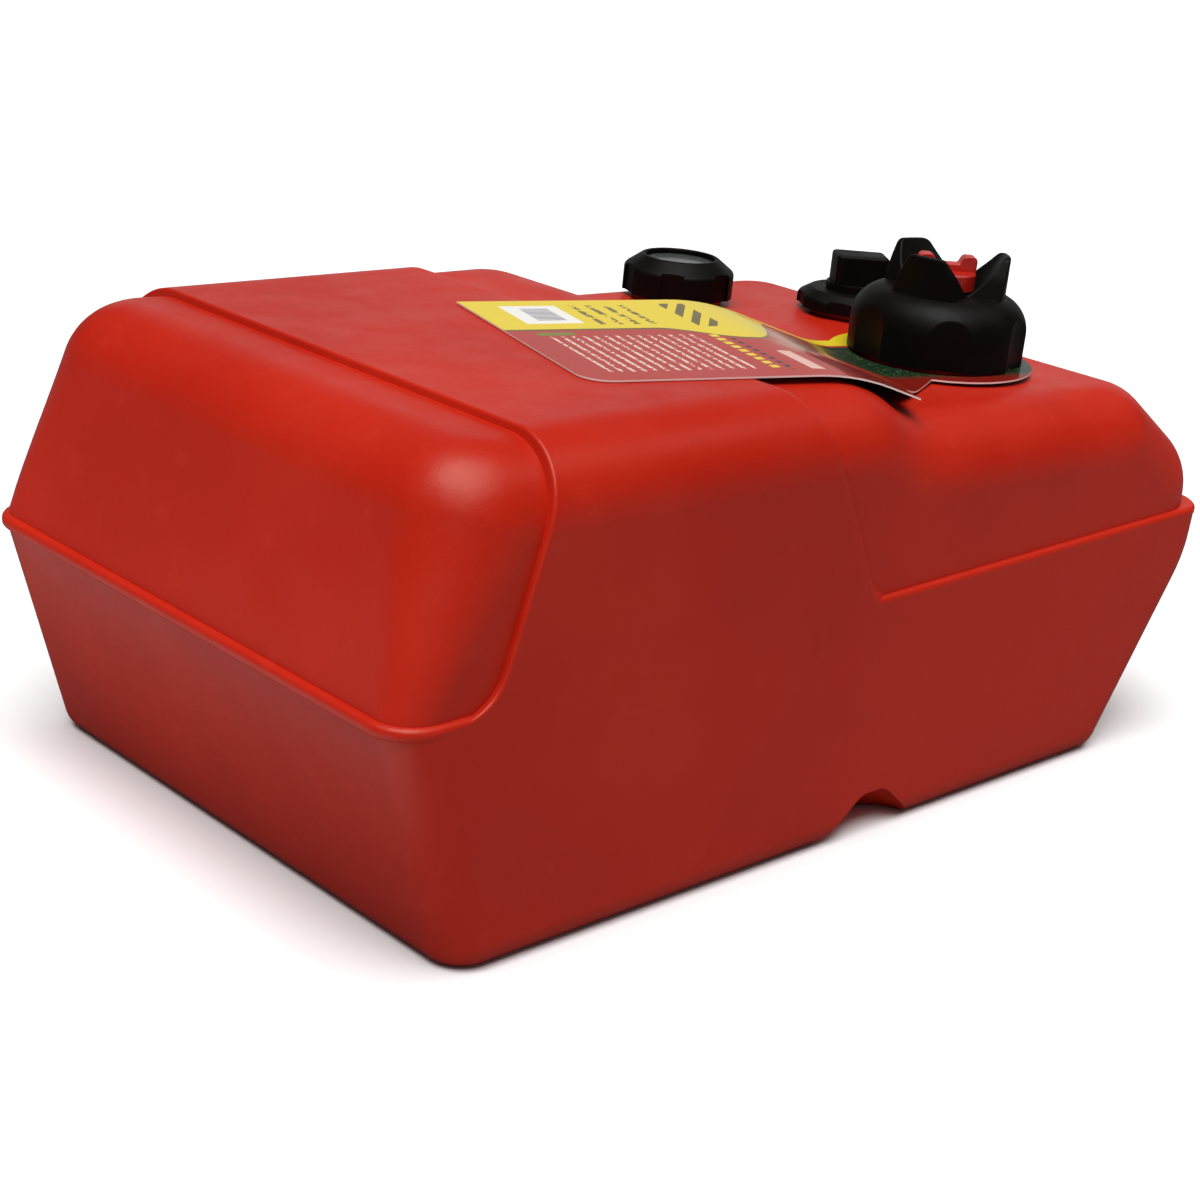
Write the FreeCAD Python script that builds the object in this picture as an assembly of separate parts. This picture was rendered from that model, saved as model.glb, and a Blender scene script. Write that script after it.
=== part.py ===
import FreeCAD, Part
import math
import os

# Portable fuel tank for an outboard motor, built as separate pieces. Millimetres, +Z up.
# The origin is on the floor under the middle of the tank. X runs along the tank, towards the
# low deck that carries the fittings. Y runs across it.

Vector = FreeCAD.Vector
ORIGIN = Vector(0, 0, 0)
Z_AXIS = Vector(0, 0, 1)

# --- tank: overall form ---
TANK_LENGTH = 528.0          # over the moulding rib
TANK_WIDTH = 296.0
WALL = 4.0
SADDLE_TOP = 209.0           # raised saddle that a hold-down strap lies on
DECK_TOP = 188.0             # low deck with the three necks
UPPER_INSET = 3.0            # the upper half stands in from the saddle and from the lower half
RIB_PROUD = 3.0              # the rib stands out from both end faces
RIB_THICK = 6.0
RIB_HEIGHT_LEFT = 107.0      # middle of the rib above the floor at the high end
RIB_HEIGHT_RIGHT = 119.5
BASE_LEFT_OFFSET = 37.0      # from the rib's left end to the left end of the floor face
BASE_RIGHT_OFFSET = 63.0
TOP_LEFT_OFFSET = 26.5       # from the rib's left end to the left end of the platform
DECK_FALL = 3.0              # the deck slopes down by this much towards its end
DECK_END_OFFSET = 60.0       # from the rib's right end to where the deck turns down
BROW_OFFSET = 1.5            # the right end face turns from steep to sloping here
BROW_HEIGHT = 147.0
BROW_RADIUS = 36.0
UPPER_END_OFFSET = 0.8       # from the rib's right end to the end face above it
JOWL_DROP = 26.0             # the right end face turns towards the floor this far below the rib
JOWL_INSET = 1.5
JOWL_RADIUS = 60.0
DECK_LENGTH = 214.0          # from the step's foot to the rib's right end
STEP_LENGTH = 62.0           # the platform falls to the deck over this length
SADDLE_LEFT_OFFSET = 45.0    # from the rib's left end to the saddle's foot
SADDLE_LEFT_RUN = 28.0       # the saddle's end slopes over this length
SADDLE_RIGHT_RUN = 50.0
SADDLE_STEP_LAP = 15.0       # the saddle's right foot lies this far past the step's start
SADDLE_FOOT_RADIUS = 22.0
SADDLE_EDGE_RADIUS = 1.4     # of its left edges
SADDLE_STEP_RADIUS = 7.0     # of its right edges, where it runs out into the step

# --- tank: roundings ---
LOWER_CORNER_RADIUS = 18.0
UPPER_CORNER_RADIUS = 33.0   # of the upper half's right upright corners
LEFT_CORNER_TOP_RADIUS = 42.0
LEFT_CORNER_RIB_RADIUS = 15.0    # the left corners grow sharper towards the rib
TOP_EDGE_RADIUS = 32.0
BASE_EDGE_RADIUS = 11.0
RIB_EDGE_RADIUS = 2.6

# --- tank: scooped notch for a hold-down in each lower long edge ---
NOTCH_X = 16.0
NOTCH_HALF_WIDTH = 34.0
NOTCH_INWARD = 26.0          # reach of the notch under the tank
NOTCH_HEIGHT = 21.0
NOTCH_CROWN_HALF_WIDTH = 8.0
NOTCH_LIP_RADIUS = 20.0
NOTCH_CROWN_RADIUS = 14.0
NOTCH_FLARE = 3.0            # the flared lip runs out at this depth below the floor face
NOTCH_FLARE_RUN = 12.0

# --- filler ---
FILLER_END_OFFSET = 124.0    # from the rib's right end to the neck's axis
FILLER_SIDE_OFFSET = 96.0    # from the near side
FILLER_NECK_RADIUS = 34.0
FILLER_BORE_RADIUS = 29.0
FILLER_NECK_HEIGHT = 16.0
THREAD_CLEARANCE = 0.35
SEAT_GAP = 0.25              # between a seal and a piece of another body
FIT_GAP = 0.1                # between pieces that are fastened to each other

# --- filler cap ---
CAP_RADIUS = 43.0
CAP_LIFT = 2.0               # skirt's lower edge above the deck
CAP_HEIGHT = 32.0
CAP_SHOULDER_RADIUS = 17.0
CAP_WALL = 4.0
CAP_EDGE_RADIUS = 1.2
SCALLOP_COUNT = 6
SCALLOP_RADIUS = 40.0
SCALLOP_DEPTH = 2.8
SCALLOP_ANGLE = 226.5
FIN_COUNT = 3
FIN_ANGLE = 197.0
FIN_OUTER_RADIUS = 30.3
FIN_TIP_HEIGHT = 51.0        # above the skirt's lower edge
FIN_TIP_THICKNESS = 2.8
FIN_ROOT_THICKNESS = 15.0
FIN_ROOT_HALF_WIDTH = 17.5
FIN_WAIST_HALF_WIDTH = 13.5
FIN_TIP_HALF_WIDTH = 8.6
FIN_WAIST_RADIUS = 20.0
FIN_EDGE_RADIUS = 1.0
LINER_WALL = 4.0
LINER_PLATE = 3.0
LINER_SKIRT = 14.0
LINER_HUB_RADIUS = 9.0
CAP_GASKET_THICKNESS = 2.5

# --- vent in the filler cap ---
VENT_STEM_RADIUS = 4.0
VENT_RUNNING_GAP = 0.06
VENT_KNOB_RADIUS = 14.8
VENT_KNOB_HEIGHT = 9.2
VENT_GRIP_THICKNESS = 7.5
VENT_GRIP_MIDDLE = 3.6
VENT_GRIP_EAR = 7.6
VENT_KNOB_EDGE = 1.0
VENT_EAR_LENGTH = 8.6
VENT_EAR_SLOPE = 2.0
VENT_EAR_RADIUS = 2.6
VENT_EAR_FOOT_RADIUS = 1.5
VENT_GRIP_EDGE_RADIUS = 0.8
VENT_GRIP_ANGLE = -40.0
VENT_SEAL_INNER = 7.0
VENT_SEAL_OUTER = 11.0
VENT_SEAL_THICKNESS = 2.0
VENT_SEAL_POCKET_GAP = 1.0
VENT_LIFT = 2.0
VENT_CLIP_RADIUS = 7.5
VENT_CLIP_THICKNESS = 1.2

# --- fuel gauge ---
GAUGE_END_OFFSET = 156.0     # from the rib's right end to the neck's axis
GAUGE_SIDE_OFFSET = 52.0     # from the far side
GAUGE_NECK_RADIUS = 24.0
GAUGE_BORE_RADIUS = 19.5
GAUGE_NECK_HEIGHT = 10.0
GAUGE_NUT_RADIUS = 29.0
GAUGE_NUT_LIFT = 2.0
GAUGE_NUT_SKIRT = 13.0
GAUGE_NUT_HEIGHT = 19.5
GAUGE_NUT_CROWN_RADIUS = 20.2
GAUGE_WINDOW_RADIUS = 18.3
GAUGE_WINDOW_EDGE_RADIUS = 0.9
NUT_SHOULDER_RADIUS = 3.0
NUT_CROWN_EDGE_RADIUS = 2.0
NUT_NOTCH_COUNT = 6
NUT_NOTCH_HALF_ANGLE = 13.0
NUT_NOTCH_DEPTH = 1.8
NUT_NOTCH_TAPER = 0.7
GAUGE_NOTCH_ANGLE = 218.0
GASKET_THICKNESS = 1.5
GAUGE_FLANGE_THICKNESS = 3.0
GAUGE_WELL_DEPTH = 2.0
GAUGE_WELL_RADIUS = 21.0
LENS_SEAL_THICKNESS = 1.0
LENS_RADIUS = 22.5
LENS_THICKNESS = 1.2
DIAL_THICKNESS = 0.6
POINTER_LENGTH = 13.0
POINTER_WIDTH = 2.4
POINTER_THICKNESS = 0.6
POINTER_GAP = 0.35
SPINDLE_RADIUS = 1.5
RUNNING_GAP = 0.06
GAUGE_BARREL_DEPTH = 24.0
GAUGE_BARREL_WALL = 2.5
RAIL_RADIUS = 14.0           # from the gauge's axis to the middle of each rail
RAIL_WIDTH = 4.0
RAIL_THICKNESS = 3.0
FOOT_THICKNESS = 3.0
FOOT_CLEARANCE = 14.0        # underside of the gauge's foot above the floor
STRIP_WIDTH = 7.0
STRIP_THICKNESS = 1.2
STRIP_END_GAP = 0.8
STRIP_SECTIONS = 24
STRIP_TURN = 270.0           # twist over the float's whole travel
FLOAT_RADIUS = 17.5
FLOAT_HEIGHT = 26.0
FLOAT_GUIDE_GAP = 0.6
FLOAT_BORE_GAP = 2.0
FLOAT_FOOT_GAP = 1.5
FLOAT_TOP_GAP = 2.0
DRIVE_PLATE_THICKNESS = 1.5
DRIVE_PLATE_RADIUS = 9.5
DRIVE_SLOT_GAP = 0.45

# --- fuel pickup ---
PICKUP_END_OFFSET = 79.0     # from the rib's right end to the neck's axis
PICKUP_SIDE_OFFSET = 110.0   # from the far side
PICKUP_NECK_RADIUS = 24.0
PICKUP_BORE_RADIUS = 15.0
PICKUP_NECK_HEIGHT = 5.0
PICKUP_NUT_RADIUS = 31.0
PICKUP_NUT_LIFT = 1.0
PICKUP_NUT_SKIRT = 5.5
PICKUP_NUT_HEIGHT = 9.5
PICKUP_NUT_CROWN_RADIUS = 24.5
PICKUP_NOTCH_ANGLE = 205.0
PICKUP_FLANGE_THICKNESS = 2.0
PICKUP_COLLAR_RADIUS = 16.5
PICKUP_COLLAR_HEIGHT = 3.5   # above the nut
PICKUP_BLOCK_LENGTH = 28.0
PICKUP_BLOCK_WIDTH = 20.0
PICKUP_BLOCK_HEIGHT = 15.5
PICKUP_BLOCK_RADIUS = 3.0
PICKUP_BLOCK_TOP_RADIUS = 1.6
PICKUP_BLOCK_ANGLE = -38.0
PICKUP_BARREL_RADIUS = 14.5
PICKUP_BARREL_DEPTH = 13.0
OUTLET_RADIUS = 5.6          # tapping bore of a 1/4-18 NPT thread
OUTLET_DEPTH = 15.0
PASSAGE_RADIUS = 2.5
SPIGOT_RADIUS = 4.0
SPIGOT_LENGTH = 14.0
PICKUP_TUBE_WALL = 1.6
STRAINER_RADIUS = 9.0
STRAINER_HEIGHT = 22.0
STRAINER_WALL = 1.2
STRAINER_FLOOR_GAP = 3.0
STRAINER_CAP_HEIGHT = 5.0
STRAINER_RIM = 3.0           # unslotted height at each end of the screen
TUBE_STRAINER_GAP = 5.0
STRAINER_SLOT_COUNT = 10
STRAINER_SLOT_WIDTH = 2.2

# --- hang tag ---
TAG_THICKNESS = 0.8
TAG_WIDTH = 137.5
TAG_CARD_LENGTH = 163.0
TAG_HEAD_RADIUS = 50.0
TAG_HEAD_OFFSET = 34.9       # from the card's far edge to the head's middle
TAG_REACH = 238.9            # from the card's left edge to the head's middle
TAG_SLIP_ALONG = 4.6         # the head's middle lies this far from the neck's axis
TAG_SLIP_ACROSS = 3.4
TAG_ANGLE = -17.0            # direction of the card's long side
TAG_CORNER_RADIUS = 13.0
TAG_SHOULDER = 26.0          # slanted end of the card's near corner, across the card
TAG_SHOULDER_RUN = 10.0      # and along it
TAG_HEAD_NEAR_SIDE = 0.8     # of the head's radius: where the neck's near side meets it
TAG_HEAD_FAR_SIDE = 0.6
TAG_FLAT = 128.0             # part of the card that lies flat on the saddle
TAG_BEND_RADIUS = 120.0
TAG_FOOT_BEND_RADIUS = 40.0
TAG_HOLE_GAP = 6.0
TAG_GAP = 0.3
TAG_DECK_GAP = 0.4

NEAR = 0.01                  # distances smaller than this count as none when edges are picked
OVER = 1.0                   # cutters, joints and limits for edges reach this far past their mark

# --- derived ---
HALF_LENGTH = TANK_LENGTH / 2
HALF_WIDTH = TANK_WIDTH / 2
FACE_X = HALF_LENGTH - RIB_PROUD
BASE_LEFT = HALF_LENGTH - BASE_LEFT_OFFSET
BASE_RIGHT = HALF_LENGTH - BASE_RIGHT_OFFSET
TOP_LEFT = HALF_LENGTH - TOP_LEFT_OFFSET
DECK_RIGHT = HALF_LENGTH - DECK_END_OFFSET
BROW_X = HALF_LENGTH - BROW_OFFSET
UPPER_END = HALF_LENGTH - UPPER_END_OFFSET
STEP_START = HALF_LENGTH - DECK_LENGTH - STEP_LENGTH
SADDLE_LEFT_FOOT = -HALF_LENGTH + SADDLE_LEFT_OFFSET
SADDLE_LEFT_TOP = SADDLE_LEFT_FOOT + SADDLE_LEFT_RUN
SADDLE_RIGHT_FOOT = STEP_START + SADDLE_STEP_LAP
SADDLE_RIGHT_TOP = SADDLE_RIGHT_FOOT - SADDLE_RIGHT_RUN
FILLER_X = HALF_LENGTH - FILLER_END_OFFSET
FILLER_Y = -HALF_WIDTH + FILLER_SIDE_OFFSET
GAUGE_X = HALF_LENGTH - GAUGE_END_OFFSET
GAUGE_Y = HALF_WIDTH - GAUGE_SIDE_OFFSET
PICKUP_X = HALF_LENGTH - PICKUP_END_OFFSET
PICKUP_Y = HALF_WIDTH - PICKUP_SIDE_OFFSET
PLATFORM_TOP = SADDLE_TOP - UPPER_INSET
FILLER_RIM = DECK_TOP + FILLER_NECK_HEIGHT
GAUGE_RIM = DECK_TOP + GAUGE_NECK_HEIGHT
PICKUP_RIM = DECK_TOP + PICKUP_NECK_HEIGHT
CAP_BASE = DECK_TOP + CAP_LIFT
CAP_LINING = CAP_WALL + SCALLOP_DEPTH / 4    # from the cap's outer form to its hollow


def axis_at(x, y):
    return Vector(x, y, 0)


def disc(radius, low, high, centre=ORIGIN):
    """Upright cylinder between two heights."""
    return Part.makeCylinder(radius, high - low, Vector(centre.x, centre.y, low))


def ring(outer, inner, low, high):
    """Upright tube between two heights."""
    return disc(outer, low, high).cut(disc(inner, low, high))


def block(x_size, y_size, low, high, centre=ORIGIN):
    """Upright block centred on an axis, between two heights."""
    corner = Vector(centre.x - x_size / 2, centre.y - y_size / 2, low)
    return Part.makeBox(x_size, y_size, high - low, corner)


def turned(points):
    """Solid of revolution about the upright axis, from (radius, height) points."""
    wire = Part.makePolygon([Vector(r, 0, z) for r, z in points + points[:1]])
    return Part.Face(wire).revolve(ORIGIN, Z_AXIS, 360)


def spun(shape, angle):
    """The shape turned about the upright axis."""
    copy = shape.copy()
    copy.rotate(ORIGIN, Z_AXIS, angle)
    return copy


def placed(shape, x, y, z):
    shape.translate(Vector(x, y, z))
    return shape


def fused(shapes):
    return shapes[0].fuse(shapes[1:]).removeSplitter()


def edges_where(shape, test):
    return [edge for edge in shape.Edges if test(edge)]


def upright(edge):
    return edge.BoundBox.ZLength > OVER


def in_side_plane(edge):
    """Whether the edge lies in a plane parallel to the XZ plane."""
    return edge.BoundBox.YLength < NEAR


def rib_height(x):
    """Height of the rib's middle, which rises along the tank."""
    share = (x + HALF_LENGTH) / TANK_LENGTH
    return RIB_HEIGHT_LEFT + share * (RIB_HEIGHT_RIGHT - RIB_HEIGHT_LEFT)


def bead_top(x):
    """Height at which the rib's rounded edge leaves the face above it."""
    return rib_height(x) + RIB_THICK / 2 - RIB_EDGE_RADIUS / 2


def cross(a, b):
    return a[0] * b[1] - a[1] * b[0]


def unit(a, b):
    length = math.hypot(b[0] - a[0], b[1] - a[1])
    return (b[0] - a[0]) / length, (b[1] - a[1]) / length


def drawn_in(corners, inward):
    """Clockwise (x, z, radius) outline moved inwards, its roundings kept concentric."""
    count = len(corners)
    result = []
    for i in range(count):
        before, here, after = corners[i - 1], corners[i], corners[(i + 1) % count]
        a = unit(before, here)
        b = unit(here, after)
        turn = cross(a, b)
        # the inward normal of a clockwise outline is to the right of each side
        na = (a[1], -a[0])
        nb = (b[1], -b[0])
        share = inward / (1 + na[0] * nb[0] + na[1] * nb[1])
        radius = here[2]
        if radius > 0:
            radius += inward if turn > 0 else -inward
        result.append((here[0] + share * (na[0] + nb[0]), here[1] + share * (na[1] + nb[1]), radius))
    return result


def turn_at(corners, i):
    """Angle by which the outline turns at one corner, in radians."""
    before, here, after = corners[i - 1], corners[i], corners[(i + 1) % len(corners)]
    a = unit(before, here)
    b = unit(here, after)
    return math.atan2(cross(a, b), a[0] * b[0] + a[1] * b[1])


def setbacks(corners):
    """How far from each corner its arc starts. Arcs that would overlap share their side."""
    count = len(corners)
    asked = [corners[i][2] * math.tan(abs(turn_at(corners, i)) / 2) for i in range(count)]
    result = list(asked)
    for i in range(count):
        j = (i + 1) % count
        side = math.dist(corners[i][:2], corners[j][:2]) - NEAR
        if asked[i] + asked[j] > side:
            share = side / (asked[i] + asked[j])
            result[i] = min(result[i], asked[i] * share)
            result[j] = min(result[j], asked[j] * share)
    return result


def outline_face(corners, y=0.0):
    """Face in the XZ plane inside (x, z, radius) corners, with an arc at each rounded one."""
    count = len(corners)
    starts, ends, middles = [], [], []
    for i, setback in enumerate(setbacks(corners)):
        before, here, after = corners[i - 1], corners[i], corners[(i + 1) % count]
        a = unit(before, here)
        b = unit(here, after)
        turn = turn_at(corners, i)
        starts.append(Vector(here[0] - a[0] * setback, y, here[1] - a[1] * setback))
        ends.append(Vector(here[0] + b[0] * setback, y, here[1] + b[1] * setback))
        dip = setback * math.tan(abs(turn) / 4)
        inner = unit((0, 0), (b[0] - a[0], b[1] - a[1])) if abs(turn) > 1e-9 else (0, 0)
        middles.append(Vector(here[0] + inner[0] * dip, y, here[1] + inner[1] * dip))
    edges = []
    for i in range(count):
        if corners[i][2] > 0:
            edges.append(Part.Arc(starts[i], middles[i], ends[i]).toShape())
        after = starts[(i + 1) % count]
        edges.append(Part.LineSegment(ends[i], after).toShape())
    return Part.Face(Part.Wire(edges))


def slab(corners, half_width):
    """XZ outline extruded to both sides of the XZ plane."""
    return outline_face(corners, -half_width).extrude(Vector(0, 2 * half_width, 0))


def notch(inward, side):
    """Solid that scoops a notch out of one long side: a bell about an upright axis, squashed."""
    corners = [
        (-NOTCH_CROWN_HALF_WIDTH, -NOTCH_FLARE, 0),
        (-NOTCH_CROWN_HALF_WIDTH, NOTCH_HEIGHT, 0),
        (NOTCH_CROWN_HALF_WIDTH, NOTCH_HEIGHT, NOTCH_CROWN_RADIUS),
        (NOTCH_HALF_WIDTH, 0, NOTCH_LIP_RADIUS),
        (NOTCH_HALF_WIDTH + NOTCH_FLARE_RUN, -NOTCH_FLARE, 0),
    ]
    half = outline_face(drawn_in(corners, -inward))
    size = 2 * (NOTCH_HALF_WIDTH + NOTCH_HEIGHT)
    half = half.common(Part.makeBox(size, 2 * OVER, 2 * size, Vector(0, -OVER, -size)))
    bell = half.revolve(ORIGIN, Z_AXIS, 360)
    squash = FreeCAD.Matrix()
    squash.scale(Vector(1, (NOTCH_INWARD + inward) / (NOTCH_HALF_WIDTH + inward), 1))
    bell = bell.transformGeometry(squash)
    return placed(bell, NOTCH_X, side * HALF_WIDTH, 0)


def lower_half(inward):
    """The flared lower half, up to the rib line, with a notch in each long side."""
    corners = [
        (-BASE_LEFT, 0, 0),
        (-FACE_X, rib_height(-FACE_X), 0),
        (FACE_X, rib_height(FACE_X), 0),
        (FACE_X - JOWL_INSET, rib_height(FACE_X) - JOWL_DROP, JOWL_RADIUS),
        (BASE_RIGHT, 0, 0),
    ]
    solid = slab(drawn_in(corners, inward), HALF_WIDTH - inward)

    def corner_edge(edge):
        return upright(edge) and in_side_plane(edge) and edge.BoundBox.XLength < HALF_LENGTH
    solid = solid.makeFillet(LOWER_CORNER_RADIUS - inward, edges_where(solid, corner_edge))

    def floor_edge(edge):
        return edge.BoundBox.ZMax < inward + NEAR
    solid = solid.makeFillet(BASE_EDGE_RADIUS - inward, edges_where(solid, floor_edge))
    return solid.cut([notch(inward, -1), notch(inward, 1)])


def step_corners():
    """The S-shaped step from the platform to the deck: two equal arcs, just short of meeting."""
    turn = 2 * math.atan2(PLATFORM_TOP - DECK_TOP, STEP_LENGTH)
    radius = STEP_LENGTH / (2 * math.sin(turn))
    setback = radius * math.tan(turn / 2)
    return [
        (STEP_START + setback, PLATFORM_TOP, radius - NEAR),
        (STEP_START + STEP_LENGTH - setback, DECK_TOP, radius - NEAR),
    ]


def upper_half(inward):
    """The inset upper half: high platform, S-shaped step and low deck."""
    corners = [
        (-FACE_X, rib_height(-FACE_X), 0),
        (-TOP_LEFT, PLATFORM_TOP, 0),
    ] + step_corners() + [
        (DECK_RIGHT, DECK_TOP - DECK_FALL, 0),
        (BROW_X, BROW_HEIGHT, BROW_RADIUS),
        (UPPER_END, rib_height(UPPER_END), 0),
    ]
    half_width = HALF_WIDTH - UPPER_INSET - inward
    corners = drawn_in(corners, inward)
    solid = slab(corners, half_width)
    # a rounding that runs over a tighter one takes that one's radius
    brow = len(corners) - 2
    brow_radius = setbacks(corners)[brow] / math.tan(abs(turn_at(corners, brow)) / 2)
    corner_radius = min(UPPER_CORNER_RADIUS - inward, brow_radius - NEAR)
    top_radius = min(TOP_EDGE_RADIUS - inward, corner_radius - NEAR)

    def left_edge(edge):
        return upright(edge) and in_side_plane(edge) and edge.BoundBox.XMax < -TOP_LEFT + 2 * inward + OVER
    for edge in edges_where(solid, left_edge):
        low, high = LEFT_CORNER_RIB_RADIUS - inward, LEFT_CORNER_TOP_RADIUS - inward
        rising = edge.Vertexes[0].Z < edge.Vertexes[-1].Z
        first, last = (low, high) if rising else (high, low)
        solid = solid.makeFillet(first, last, [edge])

    def right_edge(edge):
        return upright(edge) and in_side_plane(edge) and edge.BoundBox.XMin > DECK_RIGHT - 2 * inward - OVER
    solid = solid.makeFillet(corner_radius, edges_where(solid, right_edge))

    def top_edge(edge):
        return edge.BoundBox.ZMin > DECK_TOP - DECK_FALL - 2 * inward - NEAR
    return solid.makeFillet(top_radius, edges_where(solid, top_edge))


def saddle(inward):
    """The raised saddle across the platform, flush with the lower half at the sides."""
    left = SADDLE_LEFT_FOOT - SADDLE_FOOT_RADIUS
    right = SADDLE_RIGHT_FOOT + SADDLE_FOOT_RADIUS
    depth = RIB_THICK + 2 * inward
    corners = [
        (left, rib_height(left) - depth, 0),
        (left, bead_top(left), 0),
        (SADDLE_LEFT_FOOT, bead_top(SADDLE_LEFT_FOOT), SADDLE_FOOT_RADIUS),
        (SADDLE_LEFT_TOP, SADDLE_TOP, 0),
        (SADDLE_RIGHT_TOP, SADDLE_TOP, 0),
        (SADDLE_RIGHT_FOOT, bead_top(SADDLE_RIGHT_FOOT), SADDLE_FOOT_RADIUS),
        (right, bead_top(right), 0),
        (right, rib_height(right) - depth, 0),
    ]
    half_width = HALF_WIDTH - inward
    solid = slab(drawn_in(corners, inward), half_width)

    def shoulder_edge(edge):
        return in_side_plane(edge) and edge.BoundBox.ZMin > SADDLE_TOP - inward - NEAR
    solid = solid.makeFillet(TOP_EDGE_RADIUS - inward, edges_where(solid, shoulder_edge))
    if inward > 0:
        return solid

    def step_edge(edge):
        box = edge.BoundBox
        centre = edge.CenterOfMass
        rises = box.ZMax > rib_height(centre.x) + SADDLE_FOOT_RADIUS * 2
        across = box.ZMin > SADDLE_TOP - NEAR and box.XLength < NEAR
        round_end = box.ZMin > SADDLE_TOP - TOP_EDGE_RADIUS - OVER and box.YLength > OVER
        return (rises and in_side_plane(edge) or across or round_end) and box.XLength < SADDLE_RIGHT_RUN * 2

    def left_edge(edge):
        return step_edge(edge) and edge.CenterOfMass.x < SADDLE_LEFT_TOP + OVER
    solid = solid.makeFillet(SADDLE_EDGE_RADIUS, edges_where(solid, left_edge))

    def right_edge(edge):
        return step_edge(edge) and edge.CenterOfMass.x > SADDLE_RIGHT_TOP - OVER
    return solid.makeFillet(SADDLE_STEP_RADIUS, edges_where(solid, right_edge))


def rib():
    """Moulding rib: a bead along the rib line that stands out at both ends."""
    half = RIB_THICK / 2
    reach = HALF_LENGTH + OVER
    corners = [
        (-reach, rib_height(-reach) - half, 0),
        (-reach, rib_height(-reach) + half, 0),
        (reach, rib_height(reach) + half, 0),
        (reach, rib_height(reach) - half, 0),
    ]
    plan = block(TANK_LENGTH, TANK_WIDTH, 0, SADDLE_TOP)
    corner_radius = LOWER_CORNER_RADIUS + RIB_PROUD
    plan = plan.makeFillet(corner_radius, edges_where(plan, upright))
    bead = slab(corners, HALF_WIDTH + OVER).common(plan)

    def rim_edge(edge):
        return edge.BoundBox.ZLength < RIB_THICK - OVER or edge.BoundBox.XLength > TANK_LENGTH / 2
    return bead.makeFillet(RIB_EDGE_RADIUS, edges_where(bead, rim_edge))


def waist():
    """Inside space that joins the lower and upper cavities behind the rib."""
    inset = WALL + UPPER_INSET
    length = 2 * (FACE_X - inset) - RIB_THICK
    low = rib_height(-FACE_X) - RIB_THICK
    high = rib_height(FACE_X) + RIB_THICK
    solid = block(length, TANK_WIDTH - 2 * inset, low, high)
    return solid.makeFillet(UPPER_CORNER_RADIUS, edges_where(solid, upright))


def cavity():
    """The space inside the tank."""
    return fused([lower_half(WALL), upper_half(WALL), saddle(WALL), waist()])


def necks():
    """The three necks, not yet bored, from the deck's inner face to their rims."""
    sizes = [
        (FILLER_X, FILLER_Y, FILLER_NECK_RADIUS, FILLER_RIM),
        (GAUGE_X, GAUGE_Y, GAUGE_NECK_RADIUS, GAUGE_RIM),
        (PICKUP_X, PICKUP_Y, PICKUP_NECK_RADIUS, PICKUP_RIM),
    ]
    return [disc(r, DECK_TOP - WALL, rim, axis_at(x, y)) for x, y, r, rim in sizes]


def bores():
    """The bores of the three necks."""
    low = DECK_TOP - WALL * 2
    high = FILLER_RIM + OVER
    sizes = [
        (FILLER_X, FILLER_Y, FILLER_BORE_RADIUS),
        (GAUGE_X, GAUGE_Y, GAUGE_BORE_RADIUS),
        (PICKUP_X, PICKUP_Y, PICKUP_BORE_RADIUS),
    ]
    return [disc(r, low, high, axis_at(x, y)) for x, y, r in sizes]


def tank_shell():
    """Blow-moulded hollow tank with three necks on its deck."""
    outside = fused([lower_half(0), upper_half(0), saddle(0), rib()])
    hollow = outside.cut(cavity())
    hollow = hollow.fuse(necks()).removeSplitter()
    return hollow.cut(Part.makeCompound(bores()))


def dome(inward, low):
    """Solid of the filler cap's outer form, drawn inwards, above one height."""
    side = CAP_RADIUS - inward
    top = CAP_HEIGHT - inward
    half = outline_face([
        (0, low, 0),
        (0, top, 0),
        (side, top, CAP_SHOULDER_RADIUS - inward),
        (side, low, 0),
    ])
    return half.revolve(ORIGIN, Z_AXIS, 360)


def fin(angle):
    """One grip fin: upright outside, sloping inside, narrower at its tip."""
    root = CAP_HEIGHT - CAP_WALL
    waist_height = (CAP_HEIGHT + FIN_TIP_HEIGHT) / 2
    inner_tip = FIN_OUTER_RADIUS - FIN_TIP_THICKNESS
    inner_root = FIN_OUTER_RADIUS - FIN_ROOT_THICKNESS
    wedge = turned([
        (inner_root, root),
        (FIN_OUTER_RADIUS, root),
        (FIN_OUTER_RADIUS, FIN_TIP_HEIGHT),
        (inner_tip, FIN_TIP_HEIGHT),
    ])
    outline = [
        (-FIN_ROOT_HALF_WIDTH, root, 0),
        (-FIN_WAIST_HALF_WIDTH, waist_height, FIN_WAIST_RADIUS),
        (-FIN_TIP_HALF_WIDTH, FIN_TIP_HEIGHT, FIN_TIP_HALF_WIDTH / 2),
        (FIN_TIP_HALF_WIDTH, FIN_TIP_HEIGHT, FIN_TIP_HALF_WIDTH / 2),
        (FIN_WAIST_HALF_WIDTH, waist_height, FIN_WAIST_RADIUS),
        (FIN_ROOT_HALF_WIDTH, root, 0),
    ]
    arch = outline_face(outline).extrude(Vector(0, CAP_RADIUS, 0))
    solid = wedge.common(arch)

    def rim_edge(edge):
        return edge.BoundBox.ZMax > CAP_HEIGHT and not isinstance(edge.Curve, Part.Line)
    solid = solid.makeFillet(FIN_EDGE_RADIUS, edges_where(solid, rim_edge))
    return spun(solid, angle - 90)


def scallops():
    """Upright round cutters spaced around the cap's skirt."""
    reach = CAP_RADIUS - SCALLOP_DEPTH + SCALLOP_RADIUS
    result = []
    for i in range(SCALLOP_COUNT):
        cutter = disc(SCALLOP_RADIUS, -OVER, CAP_HEIGHT, axis_at(reach, 0))
        result.append(spun(cutter, SCALLOP_ANGLE + i * 360 / SCALLOP_COUNT))
    return result


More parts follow.
